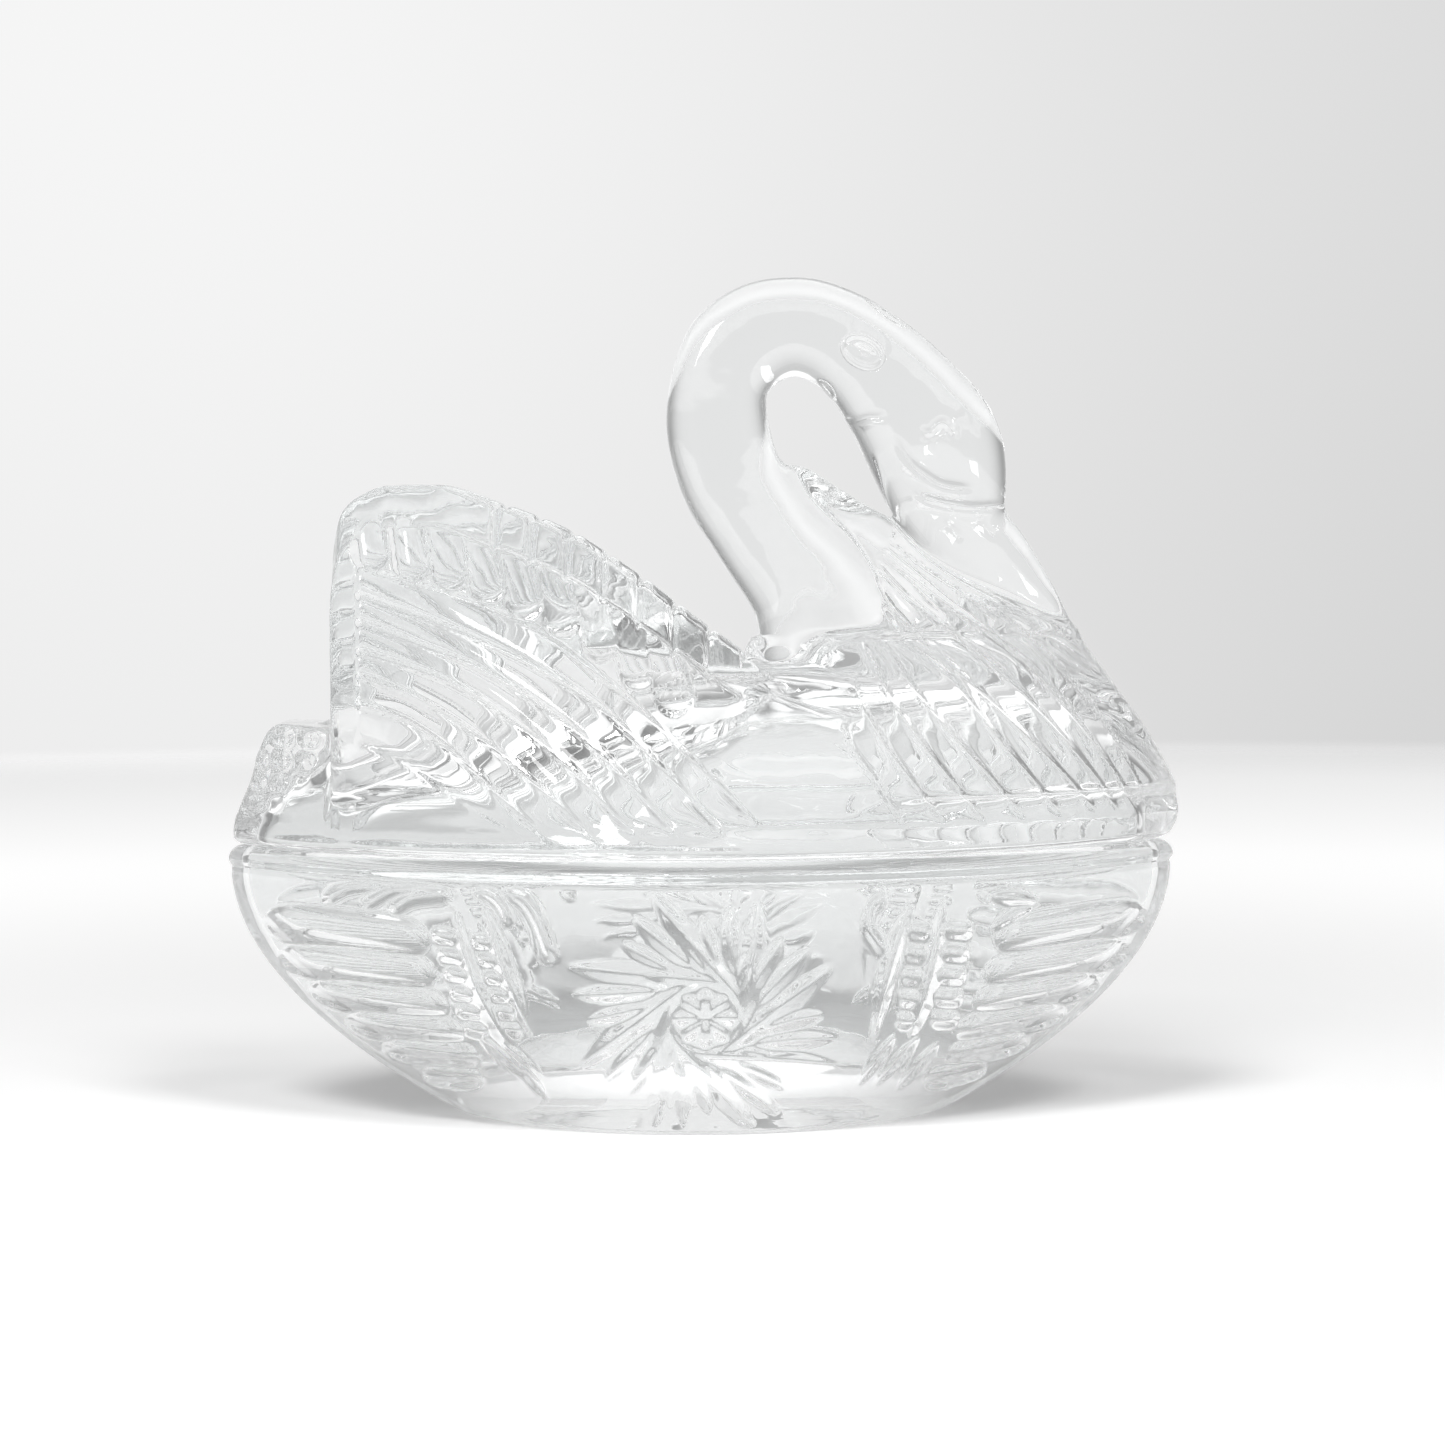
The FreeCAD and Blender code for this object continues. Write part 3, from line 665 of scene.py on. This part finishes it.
# ---------------------------------------------------------------- materials
def linear(code):
    """A six-digit sRGB hex colour as linear red, green, blue and alpha."""
    parts = [int(code[i:i + 2], 16) / 255 for i in (1, 3, 5)]
    return tuple(p / 12.92 if p <= 0.04045 else ((p + 0.055) / 1.055) ** 2.4 for p in parts) + (1.0,)


def add_node(tree, kind, settings=None, links=None):
    """A node with its settings and input values, linked from other sockets."""
    node = tree.nodes.new(kind)
    for key, value in (settings or {}).items():
        if isinstance(key, str) and hasattr(node, key) and key not in node.inputs:
            setattr(node, key, value)
        else:
            node.inputs[key].default_value = value
    for key, source in (links or {}).items():
        tree.links.new(source, node.inputs[key])
    return node


def new_material(name):
    material = bpy.data.materials.new(name)
    material.use_nodes = True
    material.node_tree.nodes.clear()
    return material, material.node_tree


def pressed_lead_crystal(tint, clear_shadow):
    # Pressed and fire-polished lead crystal: colourless, IOR 1.55, glossy, with the slow waviness that the
    # mould and the polishing flame leave, 7 mm from crest to crest, and a finer ripple of 1.6 mm.
    material, tree = new_material("pressed_lead_crystal")
    place = add_node(tree, "ShaderNodeTexCoord")
    slow = add_node(tree, "ShaderNodeTexNoise", {"Scale": 1 / (7 * MM), "Detail": 1.0},
                    {"Vector": place.outputs["Object"]})
    fine = add_node(tree, "ShaderNodeTexNoise", {"Scale": 1 / (1.6 * MM), "Detail": 0.0},
                    {"Vector": place.outputs["Object"]})
    wave = add_node(tree, "ShaderNodeBump", {"Strength": 0.35, "Distance": 0.0003},
                    {"Height": slow.outputs["Fac"]})
    ripple = add_node(tree, "ShaderNodeBump", {"Strength": 0.08, "Distance": 0.0001},
                      {"Height": fine.outputs["Fac"], "Normal": wave.outputs["Normal"]})
    glass = add_node(tree, "ShaderNodeBsdfPrincipled",
                     {"Base Color": tint, "Roughness": 0.0, "IOR": 1.55, "Transmission Weight": 1.0},
                     {"Normal": ripple.outputs["Normal"]})
    through = add_node(tree, "ShaderNodeBsdfTransparent", {"Color": (clear_shadow,) * 3 + (1.0,)})
    path = add_node(tree, "ShaderNodeLightPath")
    mix = add_node(tree, "ShaderNodeMixShader", links={0: path.outputs["Is Shadow Ray"], 1: glass.outputs[0],
                                                       2: through.outputs[0]})
    add_node(tree, "ShaderNodeOutputMaterial", links={"Surface": mix.outputs[0]})
    return material


def matt_paper(paper):
    # Matt white background paper: no gloss, a faint fibre grain of 0.8 mm. A glow of its own keeps it white
    # to its far edge. Under the foot a painted pool of light, a glow that all but diffuse rays see, stands
    # for the light that the thick glass gathers there. It fades into the room at its round edge.
    material, tree = new_material("matt_background_paper")
    place = add_node(tree, "ShaderNodeTexCoord")
    grain = add_node(tree, "ShaderNodeTexNoise", {"Scale": 1 / (0.8 * MM), "Detail": 2.0},
                     {"Vector": place.outputs["Object"]})
    bump = add_node(tree, "ShaderNodeBump", {"Strength": 0.05, "Distance": 0.0001},
                    {"Height": grain.outputs["Fac"]})
    sheet = add_node(tree, "ShaderNodeBsdfDiffuse", {"Color": paper}, {"Normal": bump.outputs["Normal"]})
    far = add_node(tree, "ShaderNodeVectorMath", {"operation": "LENGTH"}, {0: place.outputs["Object"]})
    path = add_node(tree, "ShaderNodeLightPath")
    seen = add_node(tree, "ShaderNodeMath", {"operation": "SUBTRACT", 0: 1.0},
                    {1: path.outputs["Is Diffuse Ray"]})
    levels = []
    for near, beyond, at_near, at_beyond in (
        (0.10, 0.5, 0.0, 0.40),       # glow of the far paper
        (0.010, 0.046, 0.16, 0.0),    # painted pool of light under the foot
        (0.74, 0.98, 0.0, 1.0),       # how far the paper has faded out
    ):
        level = add_node(tree, "ShaderNodeMapRange",
                         {"interpolation_type": "SMOOTHSTEP", "From Min": near, "From Max": beyond,
                          "To Min": at_near, "To Max": at_beyond}, {"Value": far.outputs["Value"]})
        levels.append(level.outputs["Result"])
    away, under, fade = levels
    glow = add_node(tree, "ShaderNodeMath", {"operation": "ADD"}, {0: away, 1: under})
    strength = add_node(tree, "ShaderNodeMath", {"operation": "MULTIPLY"},
                        {0: seen.outputs[0], 1: glow.outputs[0]})
    white = add_node(tree, "ShaderNodeEmission", {"Color": (1.0, 1.0, 1.0, 1.0)},
                     {"Strength": strength.outputs[0]})
    lit = add_node(tree, "ShaderNodeAddShader", links={0: sheet.outputs[0], 1: white.outputs[0]})
    nothing = add_node(tree, "ShaderNodeBsdfTransparent")
    mix = add_node(tree, "ShaderNodeMixShader", links={0: fade, 1: lit.outputs[0], 2: nothing.outputs[0]})
    add_node(tree, "ShaderNodeOutputMaterial", links={"Surface": mix.outputs[0]})
    return material


# ---------------------------------------------------------------- settings
class SwanDishGlass(bpy.types.PropertyGroup):
    cell: bpy.props.FloatProperty(
        name="Mesh cell", description="Size of the cells that the glass is meshed with", default=0.36,
        min=0.3, max=2.0, unit="NONE")
    tint: bpy.props.FloatVectorProperty(
        name="Glass colour", description="Colour of the crystal, nearly clear", subtype="COLOR", size=4,
        default=linear("#fafbfb"), min=0, max=1)
    clear_shadow: bpy.props.FloatProperty(
        name="Light through the glass", description="Share of the lamps' light that passes the glass",
        default=0.72, min=0, max=1, subtype="FACTOR")


class SwanDishStudio(bpy.types.PropertyGroup):
    paper: bpy.props.FloatVectorProperty(
        name="Paper colour", description="Colour of the floor", subtype="COLOR", size=4,
        default=linear("#fbfbfb"), min=0, max=1)
    distance: bpy.props.FloatProperty(
        name="Camera distance", description="Camera to the dish", default=0.65, unit="LENGTH")
    azimuth: bpy.props.FloatProperty(
        name="Camera turn", description="Camera turned towards the beak", default=math.radians(0.5),
        subtype="ANGLE")
    elevation: bpy.props.FloatProperty(
        name="Camera lift", description="Camera raised above level", default=math.radians(3.02),
        subtype="ANGLE")
    roll: bpy.props.FloatProperty(
        name="Camera roll", description="Camera turned about its own line of sight",
        default=math.radians(-0.4), subtype="ANGLE")


# ---------------------------------------------------------------- operators
def glass_material(context):
    made = bpy.data.materials.get("pressed_lead_crystal")
    if made:
        return made
    settings = context.scene.swan_dish_glass
    return pressed_lead_crystal(tuple(settings.tint), settings.clear_shadow)


def glass_cell(context):
    return context.scene.swan_dish_glass.cell * 1.0


class SWANDISH_OT_bowl(bpy.types.Operator):
    """Make the boat-shaped bowl with its cut flutes, leaves and pinwheel"""
    bl_idname = "swandish.bowl"
    bl_label = "Bowl"

    def execute(self, context):
        piece = mesh_of("bowl_glass", BOWL_LOW, BOWL_HIGH, glass_cell(context), bowl_relief,
                        lambda x, y, z, m: bowl_field(x, y, z, m["depth"]))
        piece.data.materials.append(glass_material(context))
        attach(piece, "bowl")
        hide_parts("bowl")
        return {"FINISHED"}


class SWANDISH_OT_lid(bpy.types.Operator):
    """Make the hollow lid moulded as a swan with raised wings"""
    bl_idname = "swandish.lid"
    bl_label = "Swan lid"

    def execute(self, context):
        piece = mesh_of("swan_glass", LID_LOW, LID_HIGH, glass_cell(context), lid_maps, lid_field)
        piece.data.materials.append(glass_material(context))
        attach(piece, "lid")
        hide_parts("swan_lid")
        return {"FINISHED"}


def soft_lamp(name, place, aim, size, power):
    light = bpy.data.lights.new(name, "AREA")
    light.shape = "RECTANGLE"
    light.size, light.size_y = size
    light.energy = power
    lamp = bpy.data.objects.new(name, light)
    lamp.location = place
    lamp.rotation_euler = (Vector(aim) - Vector(place)).to_track_quat("-Z", "Y").to_euler()
    bpy.context.scene.collection.objects.link(lamp)
    return lamp


def studio_world():
    """A pale room: a backdrop for the camera, a shaded room for glass, an even level for matt surfaces."""
    world = bpy.data.worlds.new("pale_room")
    bpy.context.scene.world = world
    world.use_nodes = True
    tree = world.node_tree
    tree.nodes.clear()
    place = add_node(tree, "ShaderNodeTexCoord")
    way = add_node(tree, "ShaderNodeSeparateXYZ", links={0: place.outputs["Generated"]})

    x, y, z = (way.outputs[axis] for axis in "XYZ")
    across = add_node(tree, "ShaderNodeMath", {"operation": "ABSOLUTE"}, {0: x}).outputs[0]
    levels = []
    for fades in (
        # backdrop: darker to the right and a little at the floor
        ((x, -0.14, 0.24, 0.915, 0.69), (z, -0.08, 0.1, 0.93, 1.0)),
        # room: grey side walls, dimmer front, dimmer still by the camera, ceiling, bright panel overhead
        ((across, 0.22, 0.75, 0.84, 0.38), (y, -0.8, -0.3, 0.60, 1.0), (y, -0.985, -0.93, 0.80, 1.0),
         (z, 0.15, 0.5, 1.0, 0.76), (z, 0.60, 0.72, 1.0, 2.1)),
    ):
        level = None
        for source, low, high, at_low, at_high in fades:
            fade = add_node(tree, "ShaderNodeMapRange",
                            {"interpolation_type": "SMOOTHSTEP", "From Min": low, "From Max": high,
                             "To Min": at_low, "To Max": at_high}, {"Value": source}).outputs[0]
            if level is not None:
                fade = add_node(tree, "ShaderNodeMath", {"operation": "MULTIPLY"},
                                {0: level, 1: fade}).outputs[0]
            level = fade
        levels.append(level)
    backdrop, room = levels
    path = add_node(tree, "ShaderNodeLightPath")
    seen = add_node(tree, "ShaderNodeMix", {"data_type": "FLOAT"},
                    {0: path.outputs["Is Camera Ray"], 2: room, 3: backdrop})
    seen = add_node(tree, "ShaderNodeMix", {"data_type": "FLOAT", 3: 0.20},
                    {0: path.outputs["Diffuse Depth"], 2: seen.outputs[0]})
    colour = add_node(tree, "ShaderNodeCombineXYZ", links={axis: seen.outputs[0] for axis in range(3)})
    light = add_node(tree, "ShaderNodeBackground", {"Strength": 1.0}, {"Color": colour.outputs[0]})
    add_node(tree, "ShaderNodeOutputWorld", links={"Surface": light.outputs[0]})


class SWANDISH_OT_stage(bpy.types.Operator):
    """Make the camera, the round sheet of background paper and the soft studio light"""
    bl_idname = "swandish.stage"
    bl_label = "Stage"

    def execute(self, context):
        settings = context.scene.swan_dish_studio
        camera_data = bpy.data.cameras.new("camera")
        camera = bpy.data.objects.new("camera", camera_data)
        aim = Vector((0.0034, 0.0, 0.0577))
        az, el = settings.azimuth, settings.elevation
        away = Vector((math.sin(az) * math.cos(el), -math.cos(az) * math.cos(el), math.sin(el)))
        camera.location = aim + away * settings.distance
        level = (-away).to_track_quat("-Z", "Y")
        camera.rotation_euler = (level @ Quaternion((0, 0, 1), settings.roll)).to_euler()
        camera_data.sensor_width = 36
        camera_data.lens = 36 * settings.distance / VIEW_WIDE
        camera_data.clip_start, camera_data.clip_end = 0.01, 20
        context.scene.collection.objects.link(camera)
        context.scene.camera = camera

        rings, spokes = 24, 96
        points, faces = [(0, 0, 0)], []
        for ring in range(1, rings + 1):
            for spoke in range(spokes):
                turn = 2 * math.pi * spoke / spokes
                out = PAPER_RADIUS * ring / rings
                points.append((out * math.cos(turn), out * math.sin(turn), 0))
        for spoke in range(spokes):
            after = (spoke + 1) % spokes
            faces.append((0, 1 + spoke, 1 + after))
            for ring in range(rings - 1):
                base = 1 + ring * spokes
                faces.append((base + spoke, base + spokes + spoke, base + spokes + after, base + after))
        mesh = bpy.data.meshes.new("paper_floor")
        mesh.from_pydata(points, [], faces)
        floor = bpy.data.objects.new("paper_floor", mesh)
        context.scene.collection.objects.link(floor)
        mesh.materials.append(matt_paper(tuple(settings.paper)))

        studio_world()
        key = soft_lamp("left_softbox", (-0.25, -0.70, 0.85), (0, 0, 0.03), (0.30, 0.30), 8.6)
        key.visible_glossy = key.visible_transmission = False
        side = soft_lamp("right_softbox", (0.35, -0.62, 0.85), (0, 0, 0.03), (0.26, 0.26), 5.2)
        side.visible_glossy = side.visible_transmission = False
        soft_lamp("small_window", (-0.36, -0.86, 0.42), (0, 0, 0.06), (0.20, 0.16), 0.8)
        light_paths = context.scene.cycles
        light_paths.max_bounces, light_paths.transmission_bounces, light_paths.glossy_bounces = 28, 28, 20
        context.scene.view_settings.view_transform = "Standard"
        return {"FINISHED"}


class SWANDISH_PT_panel(bpy.types.Panel):
    """Lists the makers of the dish"""
    bl_label = "Swan Dish"
    bl_idname = "SWANDISH_PT_panel"
    bl_space_type = "VIEW_3D"
    bl_region_type = "UI"
    bl_category = "Swan Dish"

    def draw(self, context):
        layout = self.layout
        for name in ("cell", "tint", "clear_shadow"):
            layout.prop(context.scene.swan_dish_glass, name)
        for name in ("paper", "distance", "azimuth", "elevation", "roll"):
            layout.prop(context.scene.swan_dish_studio, name)
        for kind in (SWANDISH_OT_stage, SWANDISH_OT_bowl, SWANDISH_OT_lid):
            layout.operator(kind.bl_idname)


CLASSES = (SwanDishGlass, SwanDishStudio, SWANDISH_OT_stage, SWANDISH_OT_bowl, SWANDISH_OT_lid,
           SWANDISH_PT_panel)


def register():
    for kind in CLASSES:
        bpy.utils.register_class(kind)
    bpy.types.Scene.swan_dish_glass = bpy.props.PointerProperty(type=SwanDishGlass)
    bpy.types.Scene.swan_dish_studio = bpy.props.PointerProperty(type=SwanDishStudio)


def unregister():
    del bpy.types.Scene.swan_dish_studio
    del bpy.types.Scene.swan_dish_glass
    for kind in reversed(CLASSES):
        bpy.utils.unregister_class(kind)


def main():
    register()
    bpy.ops.swandish.stage()
    bpy.ops.swandish.bowl()
    bpy.ops.swandish.lid()


if __name__ == "__main__":
    main()
